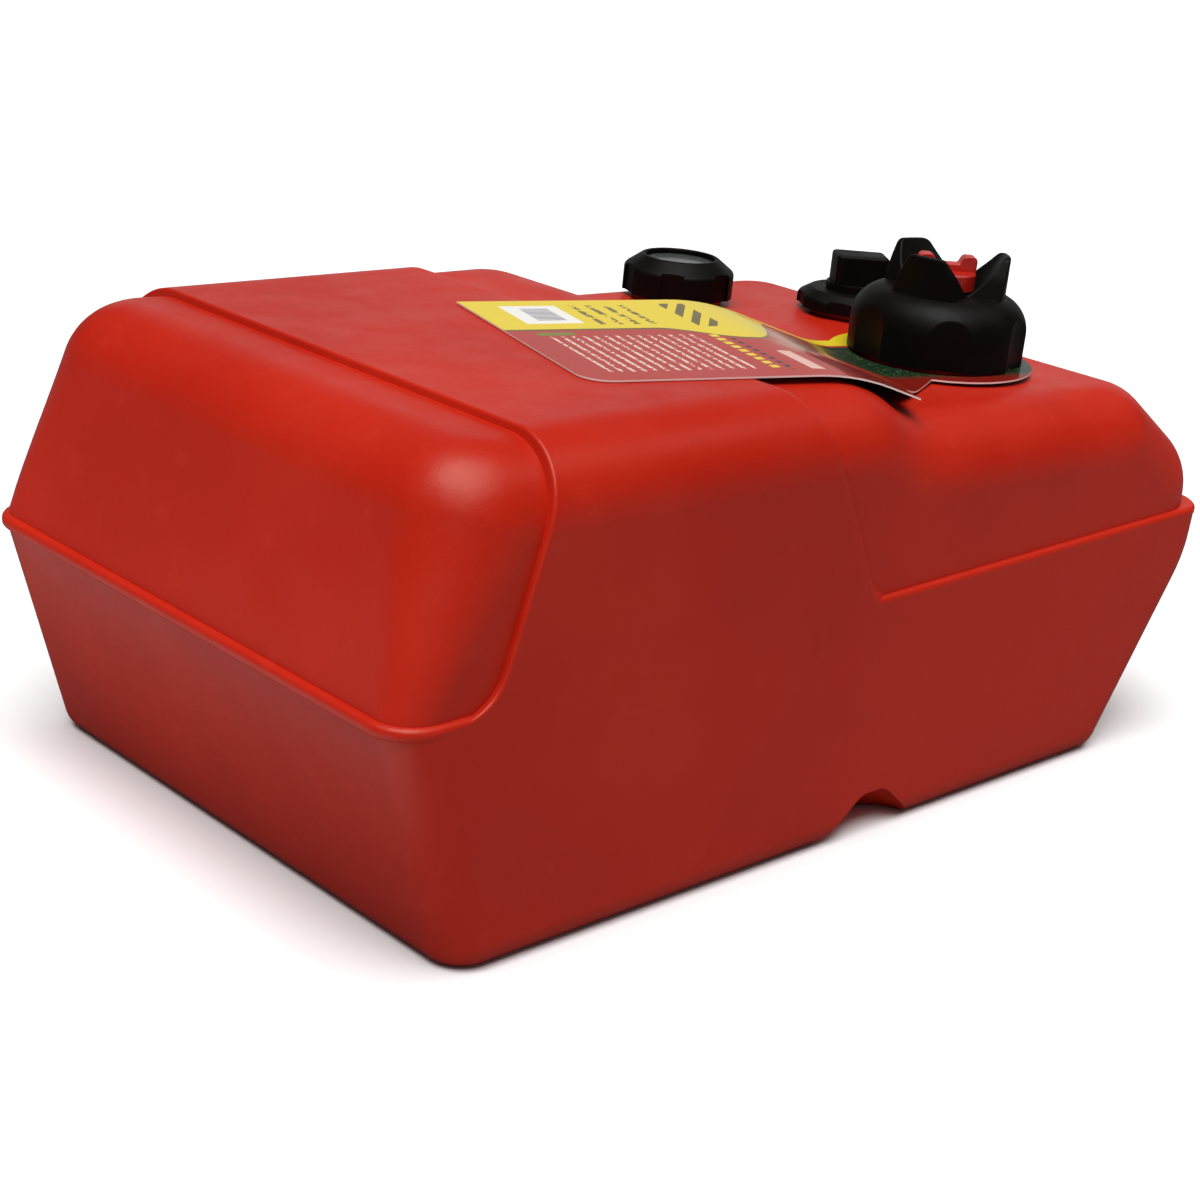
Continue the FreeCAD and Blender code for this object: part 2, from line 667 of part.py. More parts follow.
def at_filler(shape):
    return placed(shape, FILLER_X, FILLER_Y, CAP_BASE)


def liner_levels():
    """Heights above the skirt's lower edge of the liner's plate, lower and upper face."""
    under = FILLER_RIM - CAP_BASE + 2 * SEAT_GAP + CAP_GASKET_THICKNESS
    return under, under + LINER_PLATE


def filler_cap():
    """Outer cap: domed, scalloped skirt and three grip fins."""
    # the dome's seam is turned to lie between two scallops
    shell = spun(dome(0, 0), SCALLOP_ANGLE + 180 / SCALLOP_COUNT).cut(scallops())
    scalloped = [f for f in shell.Faces if abs(getattr(f.Surface, "Radius", 0) - SCALLOP_RADIUS) < NEAR]
    edges = [edge for face in scalloped for edge in edges_where(face, upright)]
    shell = shell.makeFillet(CAP_EDGE_RADIUS, edges)
    shell = shell.fuse([fin(FIN_ANGLE + i * 360 / FIN_COUNT) for i in range(FIN_COUNT)])
    shell = shell.cut(dome(CAP_LINING, -OVER))
    bore = disc(VENT_STEM_RADIUS + VENT_RUNNING_GAP, 0, CAP_HEIGHT + OVER)
    return at_filler(shell.cut(bore).removeSplitter())


def cap_liner():
    """Threaded inner cap with a hub that carries the vent's stem."""
    under, over = liner_levels()
    inside = FILLER_NECK_RADIUS + THREAD_CLEARANCE
    outside = CAP_RADIUS - CAP_LINING - FIT_GAP
    hub_top = CAP_HEIGHT - CAP_LINING
    body = disc(outside, under - LINER_SKIRT, over).cut(disc(inside, 0, under))
    body = body.common(dome(CAP_LINING + FIT_GAP, 0))
    body = body.fuse(disc(LINER_HUB_RADIUS, over, hub_top)).removeSplitter()
    bore = disc(VENT_STEM_RADIUS + VENT_RUNNING_GAP, 0, CAP_HEIGHT)
    return at_filler(body.cut(bore))


def cap_gasket():
    """Flat gasket that the liner presses onto the filler neck's rim."""
    under = liner_levels()[0]
    top = under - SEAT_GAP
    inner = (FILLER_BORE_RADIUS + FILLER_NECK_RADIUS) / 2 - LINER_WALL
    outer = FILLER_NECK_RADIUS - THREAD_CLEARANCE
    return at_filler(ring(outer, inner, top - CAP_GASKET_THICKNESS, top))


def vent_knob():
    """Red vent knob: a skirted disc with a grip bar that ends in two ears, and its stem."""
    seat = CAP_HEIGHT + VENT_SEAL_THICKNESS + 2 * SEAT_GAP
    low = CAP_HEIGHT + SEAT_GAP
    top = low + VENT_KNOB_HEIGHT
    rim = VENT_SEAL_OUTER + VENT_SEAL_POCKET_GAP
    knob = turned([
        (0, seat),
        (rim, seat),
        (rim, low),
        (VENT_KNOB_RADIUS - VENT_KNOB_EDGE, low),
        (VENT_KNOB_RADIUS, low + VENT_KNOB_EDGE),
        (VENT_KNOB_RADIUS, top - VENT_KNOB_EDGE),
        (VENT_KNOB_RADIUS - VENT_KNOB_EDGE, top),
        (0, top),
    ])
    grip = slab(grip_outline(top), VENT_GRIP_THICKNESS / 2)

    def rim_edge(edge):
        return in_side_plane(edge) and edge.BoundBox.ZMax > top
    grip = grip.makeFillet(VENT_GRIP_EDGE_RADIUS, edges_where(grip, rim_edge))
    knob = knob.fuse(spun(grip, VENT_GRIP_ANGLE))
    knob = knob.fuse(disc(VENT_STEM_RADIUS, vent_clip_low(), seat + OVER)).removeSplitter()
    return at_filler(knob)


def grip_outline(top):
    """Outline of the knob's grip bar above one height: low in the middle, an ear at each end."""
    half = VENT_KNOB_RADIUS - VENT_KNOB_EDGE / 2
    ear_foot = half - VENT_EAR_LENGTH
    ear_top = half - VENT_EAR_LENGTH + VENT_EAR_SLOPE
    right = [
        (ear_foot, top + VENT_GRIP_MIDDLE, VENT_EAR_FOOT_RADIUS),
        (ear_top, top + VENT_GRIP_EAR, VENT_EAR_RADIUS),
        (half, top + VENT_GRIP_EAR, VENT_EAR_RADIUS),
        (half, top - VENT_KNOB_EDGE, 0),
    ]
    return [(-x, z, radius) for x, z, radius in reversed(right)] + right


def vent_clip_low():
    """Lower face of the clip on the vent's stem, with room for the stem's lift."""
    return liner_levels()[0] - VENT_LIFT - 2 * SEAT_GAP - VENT_CLIP_THICKNESS


def vent_clip():
    """Retaining clip at the lower end of the vent's stem."""
    low = vent_clip_low()
    return at_filler(ring(VENT_CLIP_RADIUS, VENT_STEM_RADIUS, low, low + VENT_CLIP_THICKNESS))


def vent_seal():
    """Seal ring in the knob's pocket, over the cap's crown."""
    low = CAP_HEIGHT + SEAT_GAP
    return at_filler(ring(VENT_SEAL_OUTER, VENT_SEAL_INNER, low, low + VENT_SEAL_THICKNESS))


def notched_nut(radius, crown_radius, skirt, height, notch_angle):
    """Body of a ring nut with a softly chamfered crown and a notched skirt, not yet bored."""
    half = outline_face([
        (0, 0, 0),
        (0, height, 0),
        (crown_radius, height, NUT_CROWN_EDGE_RADIUS),
        (radius, skirt, NUT_SHOULDER_RADIUS),
        (radius, 0, 0),
    ])
    body = half.revolve(ORIGIN, Z_AXIS, 360)
    notches = []
    for i in range(NUT_NOTCH_COUNT):
        low_half = radius * math.sin(math.radians(NUT_NOTCH_HALF_ANGLE))
        top_half = low_half - NUT_NOTCH_TAPER
        top = skirt + (height - skirt) / 3
        outline = [(-low_half, -OVER, 0), (-top_half, top, 0), (top_half, top, 0), (low_half, -OVER, 0)]
        cutter = outline_face(outline, radius - NUT_NOTCH_DEPTH).extrude(Vector(0, radius, 0))
        notches.append(spun(cutter, notch_angle - 90 + i * 360 / NUT_NOTCH_COUNT))
    return body.cut(notches)


def at_gauge(shape, z=0.0):
    return placed(shape, GAUGE_X, GAUGE_Y, z)


def gauge_stack():
    """Heights of the pieces that the gauge nut clamps, from the neck's rim up."""
    flange = GAUGE_RIM + GASKET_THICKNESS
    well = flange + GAUGE_FLANGE_THICKNESS
    seal = well + GAUGE_WELL_DEPTH
    lens = seal + LENS_SEAL_THICKNESS
    return flange, well, seal, lens, DECK_TOP + GAUGE_NUT_LIFT


def gauge_nut():
    """Nut that clamps the gauge and its lens onto the neck."""
    seal, lens, base = gauge_stack()[2:]
    nut = notched_nut(GAUGE_NUT_RADIUS, GAUGE_NUT_CROWN_RADIUS, GAUGE_NUT_SKIRT, GAUGE_NUT_HEIGHT,
                      GAUGE_NOTCH_ANGLE)
    nut = nut.cut([
        disc(GAUGE_NECK_RADIUS + THREAD_CLEARANCE, -OVER, seal - base),
        disc(LENS_RADIUS + FIT_GAP, 0, lens + LENS_THICKNESS - base),
        disc(GAUGE_WINDOW_RADIUS, 0, GAUGE_NUT_HEIGHT + OVER),
    ])

    def window_edge(edge):
        box = edge.BoundBox
        return box.ZMin > GAUGE_NUT_HEIGHT - NEAR and box.XLength < 2 * GAUGE_WINDOW_RADIUS + NEAR
    nut = nut.makeFillet(GAUGE_WINDOW_EDGE_RADIUS, edges_where(nut, window_edge))
    return at_gauge(nut, base)


def gauge_lens():
    """Clear disc over the dial."""
    lens = gauge_stack()[3]
    return at_gauge(disc(LENS_RADIUS, lens, lens + LENS_THICKNESS))


def lens_seal():
    """Seal between the gauge's rim and its lens."""
    seal = gauge_stack()[2]
    return at_gauge(ring(LENS_RADIUS, GAUGE_WELL_RADIUS, seal, seal + LENS_SEAL_THICKNESS))


def gauge_gasket():
    """Gasket between the neck's rim and the gauge's flange."""
    return at_gauge(ring(GAUGE_NECK_RADIUS, GAUGE_BORE_RADIUS, GAUGE_RIM,
                         GAUGE_RIM + GASKET_THICKNESS))


def rail_low():
    """Height of the rails' lower ends, on the foot."""
    return FOOT_CLEARANCE + FOOT_THICKNESS


def barrel_low():
    """Height of the barrel's lower end, inside the neck."""
    return gauge_stack()[0] - GAUGE_BARREL_DEPTH


def gauge_frame():
    """Gauge body: flange with a dial well, a barrel in the neck and two rails for the float."""
    flange, well, seal = gauge_stack()[:3]
    barrel_radius = GAUGE_BORE_RADIUS - 2 * FIT_GAP
    body = disc(GAUGE_NECK_RADIUS, flange, seal)
    body = body.cut(disc(GAUGE_WELL_RADIUS, well, seal + OVER))
    body = body.fuse(disc(barrel_radius, barrel_low(), flange))
    body = body.cut(disc(barrel_radius - GAUGE_BARREL_WALL, barrel_low() - OVER, flange))
    rails = []
    for side in (-1, 1):
        centre = axis_at(0, side * RAIL_RADIUS)
        rails.append(block(RAIL_WIDTH, RAIL_THICKNESS, rail_low(), flange + OVER, centre))
    body = body.fuse(rails).removeSplitter()
    return at_gauge(body.cut(disc(SPINDLE_RADIUS + RUNNING_GAP, 0, seal)))


def gauge_foot():
    """Foot plate that joins the rails' lower ends and carries the spindle's lower pin."""
    length = 2 * RAIL_RADIUS + RAIL_THICKNESS * 2
    plate = block(RAIL_WIDTH * 2, length, FOOT_CLEARANCE, FOOT_CLEARANCE + FOOT_THICKNESS)
    return at_gauge(plate.cut(disc(SPINDLE_RADIUS + RUNNING_GAP, 0, rail_low() + OVER)))


def float_low():
    """Height of the float's underside when it rests empty."""
    return rail_low() + FLOAT_FOOT_GAP


def float_travel():
    """How far the float can rise to the gauge's barrel."""
    return barrel_low() - FLOAT_TOP_GAP - (float_low() + FLOAT_HEIGHT + DRIVE_PLATE_THICKNESS)


def gauge_float():
    """Float that slides on the rails, bored clear of the spindle's twisted strip."""
    low = float_low()
    body = disc(FLOAT_RADIUS, low, low + FLOAT_HEIGHT)
    body = body.cut(disc(STRIP_WIDTH / 2 + FLOAT_BORE_GAP, low - OVER, low + FLOAT_HEIGHT + OVER))
    grooves = []
    for side in (-1, 1):
        inner = RAIL_RADIUS - RAIL_THICKNESS / 2 - FLOAT_GUIDE_GAP
        centre = axis_at(0, side * (inner + FLOAT_RADIUS / 2))
        width = RAIL_WIDTH + 2 * FLOAT_GUIDE_GAP
        grooves.append(block(width, FLOAT_RADIUS, low - OVER, low + FLOAT_HEIGHT + OVER, centre))
    return at_gauge(body.cut(grooves))


def drive_plate():
    """Slotted plate on the float that turns the twisted strip as the float rises."""
    low = float_low() + FLOAT_HEIGHT
    high = low + DRIVE_PLATE_THICKNESS
    slot = block(STRIP_WIDTH + 2 * DRIVE_SLOT_GAP, STRIP_THICKNESS + 2 * DRIVE_SLOT_GAP,
                 low - OVER, high + OVER)
    return at_gauge(disc(DRIVE_PLATE_RADIUS, low, high).cut(slot))


def strip_section(height, angle):
    """Closed section of the strip at one height, turned about the spindle's axis."""
    half_x = STRIP_WIDTH / 2
    half_y = STRIP_THICKNESS / 2
    corners = [(-half_x, -half_y), (half_x, -half_y), (half_x, half_y), (-half_x, half_y)]
    c = math.cos(math.radians(angle))
    s = math.sin(math.radians(angle))
    points = [Vector(x * c - y * s, x * s + y * c, height) for x, y in corners]
    return Part.makePolygon(points + points[:1])


def spindle():
    """Twisted strip between two journals. It carries the pointer."""
    low = rail_low() + STRIP_END_GAP
    high = gauge_stack()[0] - STRIP_END_GAP
    grip = float_low() + FLOAT_HEIGHT + DRIVE_PLATE_THICKNESS / 2
    sections = []
    for i in range(STRIP_SECTIONS + 1):
        height = low + (high - low) * i / STRIP_SECTIONS
        angle = (height - grip) * STRIP_TURN / float_travel()
        sections.append(strip_section(height, angle))
    strip = Part.makeLoft(sections, True, False)
    well = gauge_stack()[1]
    lower_pin = disc(SPINDLE_RADIUS, FOOT_CLEARANCE + STRIP_END_GAP, low + OVER)
    upper_pin = disc(SPINDLE_RADIUS, high - OVER, well + DIAL_THICKNESS + POINTER_GAP)
    return at_gauge(strip.fuse([lower_pin, upper_pin]))


def gauge_dial():
    """Printed disc under the pointer."""
    well = gauge_stack()[1]
    hole = SPINDLE_RADIUS + 2 * POINTER_GAP
    return at_gauge(ring(GAUGE_WELL_RADIUS - FIT_GAP, hole, well, well + DIAL_THICKNESS))


def gauge_pointer():
    """Pointer blade with a round boss, on top of the spindle."""
    low = gauge_stack()[1] + DIAL_THICKNESS + POINTER_GAP
    high = low + POINTER_THICKNESS
    blade = block(POINTER_LENGTH, POINTER_WIDTH, low, high, axis_at(POINTER_LENGTH / 2, 0))
    return at_gauge(blade.fuse(disc(SPINDLE_RADIUS * 2, low, high)).removeSplitter())


def at_pickup(shape, z=0.0):
    return placed(shape, PICKUP_X, PICKUP_Y, z)


def pickup_nut():
    """Nut that clamps the pickup's flange onto the neck."""
    base = DECK_TOP + PICKUP_NUT_LIFT
    flange_top = PICKUP_RIM + GASKET_THICKNESS + PICKUP_FLANGE_THICKNESS
    nut = notched_nut(PICKUP_NUT_RADIUS, PICKUP_NUT_CROWN_RADIUS, PICKUP_NUT_SKIRT,
                      PICKUP_NUT_HEIGHT, PICKUP_NOTCH_ANGLE)
    nut = nut.cut([
        disc(PICKUP_NECK_RADIUS + THREAD_CLEARANCE, -OVER, flange_top - base),
        disc(PICKUP_COLLAR_RADIUS + FIT_GAP, 0, PICKUP_NUT_HEIGHT + OVER),
    ])
    return at_pickup(nut, base)


def pickup_gasket():
    """Gasket between the neck's rim and the pickup's flange."""
    return at_pickup(ring(PICKUP_NECK_RADIUS, PICKUP_BORE_RADIUS, PICKUP_RIM,
                          PICKUP_RIM + GASKET_THICKNESS))


def pickup_levels():
    """Heights of the pickup body's flange, collar top and block top."""
    flange = PICKUP_RIM + GASKET_THICKNESS
    collar = DECK_TOP + PICKUP_NUT_LIFT + PICKUP_NUT_HEIGHT + PICKUP_COLLAR_HEIGHT
    return flange, collar, collar + PICKUP_BLOCK_HEIGHT


def pickup_body():
    """Pickup body: flange under the nut, collar, block with the outlet port, and spigot."""
    flange, collar, top = pickup_levels()
    barrel = flange - PICKUP_BARREL_DEPTH
    head = block(PICKUP_BLOCK_LENGTH, PICKUP_BLOCK_WIDTH, collar - OVER, top)
    head = head.makeFillet(PICKUP_BLOCK_RADIUS, edges_where(head, upright))

    def top_edge(edge):
        return edge.BoundBox.ZMin > top - NEAR
    head = head.makeFillet(PICKUP_BLOCK_TOP_RADIUS, edges_where(head, top_edge))
    body = spun(head, PICKUP_BLOCK_ANGLE).fuse([
        disc(PICKUP_NECK_RADIUS, flange, flange + PICKUP_FLANGE_THICKNESS),
        disc(PICKUP_COLLAR_RADIUS, flange, collar),
        disc(PICKUP_BARREL_RADIUS, barrel, flange),
        disc(SPIGOT_RADIUS, barrel - SPIGOT_LENGTH, barrel),
    ])
    port_height = (collar + top) / 2
    port = Part.makeCylinder(OUTLET_RADIUS, OUTLET_DEPTH,
                             Vector(PICKUP_BLOCK_LENGTH / 2 - OUTLET_DEPTH, 0, port_height),
                             Vector(1, 0, 0))
    passage = disc(PASSAGE_RADIUS, barrel - SPIGOT_LENGTH - OVER, port_height)
    body = body.cut([spun(port, PICKUP_BLOCK_ANGLE), passage])
    return at_pickup(body.removeSplitter())


def tube_low():
    """Height of the pickup tube's open lower end, inside the strainer."""
    return WALL + STRAINER_FLOOR_GAP + TUBE_STRAINER_GAP


def pickup_tube():
    """Tube from the pickup body's spigot down into the strainer."""
    top = pickup_levels()[0] - PICKUP_BARREL_DEPTH
    outer = SPIGOT_RADIUS + PICKUP_TUBE_WALL
    return at_pickup(ring(outer, SPIGOT_RADIUS, tube_low(), top))


def strainer_screen():
    """Slotted screen around the pickup tube's lower end."""
    low = WALL + STRAINER_FLOOR_GAP
    high = low + STRAINER_HEIGHT
    screen = ring(STRAINER_RADIUS, STRAINER_RADIUS - STRAINER_WALL, low, high)
    slots = []
    for i in range(STRAINER_SLOT_COUNT):
        slot = block(STRAINER_RADIUS, STRAINER_SLOT_WIDTH, low + STRAINER_RIM, high - STRAINER_RIM,
                     axis_at(STRAINER_RADIUS, 0))
        slots.append(spun(slot, i * 360 / STRAINER_SLOT_COUNT))
    return at_pickup(screen.cut(slots))


def strainer_cap():
    """Cap that holds the screen on the pickup tube."""
    top = WALL + STRAINER_FLOOR_GAP + STRAINER_HEIGHT
    outer = SPIGOT_RADIUS + PICKUP_TUBE_WALL
    return at_pickup(ring(STRAINER_RADIUS, outer, top, top + STRAINER_CAP_HEIGHT))


def tag_outline():
    """Upright block with the tag's plan, in its own axes: card from (0, 0), then the head."""
    head = (TAG_REACH, TAG_HEAD_OFFSET)
    card = Part.makeBox(TAG_CARD_LENGTH, TAG_WIDTH, SADDLE_TOP * 2, Vector(0, 0, 0))

    def left_corner(edge):
        return upright(edge) and edge.BoundBox.XMax < OVER and edge.BoundBox.YMin > OVER
    card = card.makeFillet(TAG_CORNER_RADIUS, edges_where(card, left_corner))
    round_head = disc(TAG_HEAD_RADIUS, 0, SADDLE_TOP * 2, axis_at(*head))
    points = [
        (TAG_CARD_LENGTH - OVER, 0),
        (TAG_CARD_LENGTH - OVER, TAG_WIDTH),
        (TAG_CARD_LENGTH, TAG_WIDTH),
        (TAG_CARD_LENGTH + TAG_SHOULDER_RUN, TAG_WIDTH - TAG_SHOULDER),
        (head[0] - TAG_HEAD_RADIUS / 2, head[1] + TAG_HEAD_RADIUS * TAG_HEAD_NEAR_SIDE),
        (head[0], head[1] - TAG_HEAD_RADIUS * TAG_HEAD_FAR_SIDE),
    ]
    bridge = Part.Face(Part.makePolygon([Vector(x, y, 0) for x, y in points + points[:1]]))
    bridge = bridge.extrude(Vector(0, 0, SADDLE_TOP * 2))
    hole = disc(FILLER_NECK_RADIUS + TAG_HOLE_GAP, -OVER, SADDLE_TOP * 2 + OVER, axis_at(*head))
    return fused([card, bridge, round_head]).cut(hole)


def tag_sheet():
    """The card's bent thickness along its length: flat, drooping, and flat around the neck."""
    top = SADDLE_TOP + TAG_GAP
    low = DECK_TOP + TAG_DECK_GAP
    foot = TAG_REACH - TAG_HEAD_RADIUS
    lower = [
        (-TAG_HEAD_RADIUS, top, 0),
        (TAG_FLAT, top, TAG_BEND_RADIUS),
        (foot, low, TAG_FOOT_BEND_RADIUS),
        (TAG_REACH + 2 * TAG_HEAD_RADIUS, low, 0),
    ]
    upper = []
    for x, z, radius in reversed(lower):
        upper.append((x, z + TAG_THICKNESS, radius))
    outline = upper + lower
    face = outline_face(list(reversed(outline)), -TAG_HEAD_RADIUS)
    return face.extrude(Vector(0, TAG_WIDTH + 2 * TAG_HEAD_RADIUS, 0))


def hang_tag():
    """Card that hangs around the filler neck and lies over the platform."""
    card = tag_sheet().common(tag_outline())
    # the card's own Y runs towards the near side, so it is turned over before it is placed
    card = card.mirror(Vector(0, 0, 0), Vector(0, 1, 0))
    card.translate(Vector(-TAG_REACH - TAG_SLIP_ALONG, TAG_HEAD_OFFSET - TAG_SLIP_ACROSS, 0))
    return placed(spun(card, TAG_ANGLE), FILLER_X, FILLER_Y, 0)


MAKERS = [
    tank_shell, filler_cap, cap_liner, cap_gasket, vent_knob, vent_clip, vent_seal,
    gauge_nut, gauge_lens, lens_seal, gauge_gasket, gauge_frame, gauge_foot, gauge_float,
    drive_plate, spindle, gauge_dial, gauge_pointer,
    pickup_nut, pickup_gasket, pickup_body, pickup_tube, strainer_screen, strainer_cap,
    hang_tag,
]


def main():
    os.makedirs("parts", exist_ok=True)
    for maker in MAKERS:
        maker().exportStep("parts/" + maker.__name__ + ".step")


if __name__ == "__main__":
    main()
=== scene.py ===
import math

import bpy
from mathutils import Matrix, Vector


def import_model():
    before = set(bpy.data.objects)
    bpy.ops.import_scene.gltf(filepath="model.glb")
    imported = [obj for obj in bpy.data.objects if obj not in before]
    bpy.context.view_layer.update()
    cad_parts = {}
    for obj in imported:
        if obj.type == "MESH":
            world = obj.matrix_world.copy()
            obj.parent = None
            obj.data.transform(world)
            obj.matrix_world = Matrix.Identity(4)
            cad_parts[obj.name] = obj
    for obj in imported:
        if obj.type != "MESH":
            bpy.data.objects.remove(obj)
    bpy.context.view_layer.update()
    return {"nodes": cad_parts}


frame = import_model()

NODES = frame["nodes"]

MIX_A, MIX_B, MIX_RESULT = 6, 7, 2      # the colour sockets of a Mix node
WHITE_LIGHT = (1.0, 1.0, 1.0, 1.0)


# --- material helpers ---

class Mat:
    """A node material with one Principled shader, and short ways to feed its sockets."""

    def __init__(self, name):
        self.material = bpy.data.materials.new(name)
        self.material.use_nodes = True
        self.tree = self.material.node_tree
        self.tree.nodes.clear()
        out = self.node("ShaderNodeOutputMaterial")
        self.shader = self.node("ShaderNodeBsdfPrincipled")
        self.link(self.shader.outputs[0], out.inputs["Surface"])
        self.coords = self.node("ShaderNodeTexCoord").outputs["Object"]

    def node(self, kind, **values):
        made = self.tree.nodes.new(kind)
        for key, value in values.items():
            setattr(made, key, value)
        return made

    def link(self, a, b):
        self.tree.links.new(a, b)

    def put(self, socket, value):
        """Link the value if it is another node's output, and otherwise set it."""
        if isinstance(value, bpy.types.NodeSocket):
            self.link(value, socket)
        else:
            socket.default_value = value

    def set(self, **values):
        """Feed the shader's sockets by name, with _ for each space."""
        for key, value in values.items():
            self.put(self.shader.inputs[key.replace("_", " ")], value)

    def noise(self, scale, detail=3.0, rough=0.5, coords=None):
        """Noise from 0 to 1, with this many features to a metre."""
        made = self.node("ShaderNodeTexNoise")
        self.link(coords or self.coords, made.inputs["Vector"])
        made.inputs["Scale"].default_value = scale
        made.inputs["Detail"].default_value = detail
        made.inputs["Roughness"].default_value = rough
        return made.outputs["Fac"]

    def stretched(self, x, y, z):
        """Object coordinates scaled by this much along each axis."""
        made = self.node("ShaderNodeMapping")
        self.link(self.coords, made.inputs["Vector"])
        made.inputs["Scale"].default_value = (x, y, z)
        return made.outputs[0]

    def ramp(self, value, low, high, out_low=0.0, out_high=1.0):
        """Smooth step of the value from low to high, mapped to out_low and out_high."""
        made = self.node("ShaderNodeMapRange")
        made.interpolation_type = "SMOOTHSTEP"
        self.link(value, made.inputs["Value"])
        made.inputs["From Min"].default_value = low
        made.inputs["From Max"].default_value = high
        made.inputs["To Min"].default_value = out_low
        made.inputs["To Max"].default_value = out_high
        return made.outputs["Result"]

    def math(self, operation, a, b=0.0):
        made = self.node("ShaderNodeMath", operation=operation)
        self.put(made.inputs[0], a)
        self.put(made.inputs[1], b)
        return made.outputs[0]

    def times(self, *values):
        """Product of all the values."""
        product = values[0]
        for value in values[1:]:
            product = self.math("MULTIPLY", product, value)
        return product

    def between(self, value, low, high):
        """1 where the value lies between low and high, and 0 elsewhere."""
        above = self.math("GREATER_THAN", value, low)
        return self.times(above, self.math("LESS_THAN", value, high))

    def near(self, value, mark, reach):
        """1 where the value lies within reach of the mark, and 0 elsewhere."""
        away = self.math("ABSOLUTE", self.math("SUBTRACT", value, mark))
        return self.math("LESS_THAN", away, reach)

    def stripes(self, value, per_unit, share):
        """Repeating bars along the value: 1 over this share of each period, and 0 over the rest."""
        phase = self.math("FRACT", self.math("MULTIPLY", value, per_unit))
        return self.math("LESS_THAN", phase, share)

    def speckle(self, scale, level):
        """1 where a noise lies above the level, and 0 elsewhere."""
        return self.math("GREATER_THAN", self.noise(scale, detail=1.0), level)

    def mix(self, factor, a, b):
        """Colour a where the factor is 0, and b where it is 1."""
        made = self.node("ShaderNodeMix", data_type="RGBA")
        self.put(made.inputs["Factor"], factor)
        self.put(made.inputs[MIX_A], a)
        self.put(made.inputs[MIX_B], b)
        return made.outputs[MIX_RESULT]

    def bump(self, height, distance, strength=1.0, normal=None):
        """Normal of a surface that rises by this distance, in metres, where the height is 1."""
        made = self.node("ShaderNodeBump")
        made.inputs["Strength"].default_value = strength
        made.inputs["Distance"].default_value = distance
        self.link(height, made.inputs["Height"])
        if normal:
            self.link(normal, made.inputs["Normal"])
        return made.outputs[0]

    def axes(self, coords=None):
        """The x, y and z of the object coordinates, or of the vector given."""
        made = self.node("ShaderNodeSeparateXYZ")
        self.link(coords or self.coords, made.inputs[0])
        return made.outputs


def rgb(r, g, b):
    """Colour written as sRGB 0-255, as linear RGBA."""
    def linear(level):
        level /= 255
        return level / 12.92 if level <= 0.04045 else ((level + 0.055) / 1.055) ** 2.4
    return (linear(r), linear(g), linear(b), 1.0)


# --- materials ---

def tank_plastic():
    """Satin polyethylene: cloudy red with chalky scuffs, over waves, pebble and grain."""
    m = Mat("tank_polyethylene")
    clouds = m.ramp(m.noise(scale=5.0, detail=3.0, rough=0.55), low=0.35, high=0.65)
    base = m.mix(clouds, rgb(178, 28, 9), rgb(190, 34, 13))
    mottle = m.ramp(m.noise(scale=70.0, detail=4.0, rough=0.6), low=0.55, high=0.8, out_high=0.35)
    base = m.mix(mottle, base, rgb(196, 46, 26))
    # chalky scuffs where the tank is handled and slid
    strokes = m.noise(scale=260.0, detail=6.0, rough=0.7, coords=m.stretched(0.25, 1.0, 1.6))
    strokes = m.ramp(strokes, low=0.66, high=0.76, out_high=0.5)
    patches = m.ramp(m.noise(scale=9.0, detail=2.0), low=0.52, high=0.66)
    base = m.mix(m.times(strokes, patches), base, rgb(205, 84, 68))
    satin = m.noise(scale=34.0, detail=4.0, rough=0.6)
    satin = m.ramp(satin, low=0.3, high=0.7, out_low=0.36, out_high=0.46)
    waves = m.bump(m.noise(scale=14.0, detail=2.0), distance=0.0014, strength=0.45)
    pebble = m.noise(scale=420.0, detail=4.0, rough=0.65)
    pebble = m.bump(pebble, distance=0.00012, strength=0.7, normal=waves)
    grain = m.noise(scale=1900.0, detail=2.0)
    grain = m.bump(grain, distance=0.00003, strength=0.6, normal=pebble)
    m.set(Base_Color=base, Roughness=satin, Normal=grain)
    m.set(IOR=1.5, Specular_IOR_Level=0.36, Specular_Tint=(1.0, 0.88, 0.74, 1.0))
    m.set(Subsurface_Weight=0.06, Subsurface_Radius=(0.008, 0.0016, 0.001), Subsurface_Scale=0.5)
    return m.material


def moulded(name, dark, light, rough, coat=0.0, shine=0.4):
    """Injection-moulded plastic: soft flow variation in its colour, fine grain and uneven satin."""
    m = Mat(name)
    flow = m.ramp(m.noise(scale=38.0, detail=3.0, rough=0.6), low=0.3, high=0.7)
    grain = m.bump(m.noise(scale=700.0, detail=3.0, rough=0.6), distance=0.00004, strength=0.7)
    sinks = m.bump(m.noise(scale=60.0, detail=2.0), distance=0.0003, strength=0.35, normal=grain)
    satin = m.noise(scale=90.0, detail=4.0, rough=0.6)
    satin = m.ramp(satin, low=0.3, high=0.7, out_low=rough - 0.05, out_high=rough + 0.06)
    m.set(Base_Color=m.mix(flow, dark, light), Roughness=satin, Normal=sinks)
    m.set(Coat_Weight=coat, Coat_Roughness=0.3, Specular_IOR_Level=shine)
    return m.material


def rubber():
    """Dull black rubber with a powdery bloom."""
    m = Mat("nitrile_rubber")
    bloom = m.ramp(m.noise(scale=120.0, detail=4.0), low=0.4, high=0.7)
    grain = m.bump(m.noise(scale=1500.0, detail=3.0), distance=0.00004)
    m.set(Base_Color=m.mix(bloom, rgb(24, 24, 25), rgb(38, 37, 37)), Roughness=0.72, Normal=grain)
    return m.material


